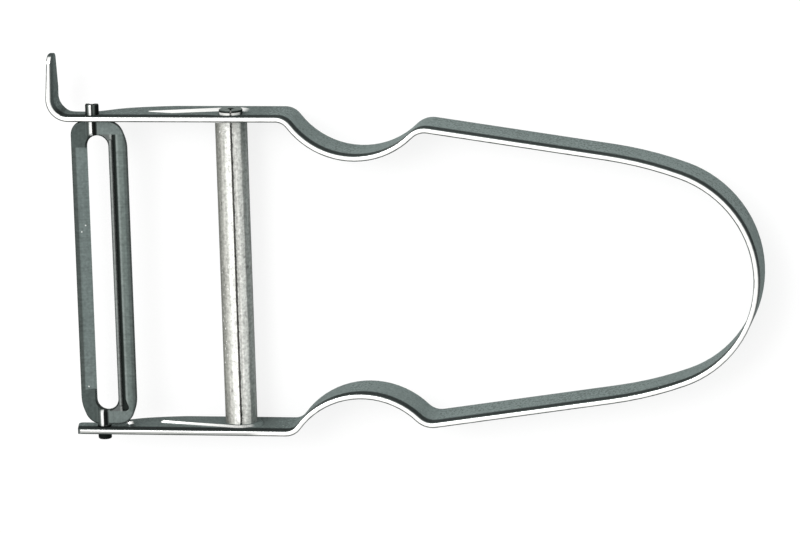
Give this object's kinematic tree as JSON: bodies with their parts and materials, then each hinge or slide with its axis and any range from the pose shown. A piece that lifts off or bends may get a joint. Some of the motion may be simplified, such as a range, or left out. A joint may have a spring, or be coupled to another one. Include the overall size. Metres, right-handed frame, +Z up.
{
  "type": "vegetable peeler",
  "caption": "Swivel-blade vegetable peeler: bent steel strip handle with an eye gouge, a rolled crossbar and a slotted blade that turns between the arms.",
  "frame": {"origin": "centre of the whole part's box, on the plane of the strip's lower edge", "axes": "+X from the blade to the handle's round end, +Y towards the arm with the eye gouge, +Z up"},
  "size_m": [0.1106, 0.0614, 0.0095],
  "materials": {
    "strip_steel": "tumbled, bright cut edges",
    "blade_steel": "satin, ground bevel",
    "tube_steel": "bright"
  },
  "bodies": {
    "handle": {"handle_band": "strip_steel", "crossbar": "tube_steel"},
    "blade": {"blade": "blade_steel"}
  },
  "joints": [
    {"name": "blade_swivel", "type": "hinge", "parent": "handle", "child": "blade", "pos_m": [-0.0484, -0.00424, 0.0073], "axis": [0, -1, 0], "range_deg": [0, 341]}
  ]
}
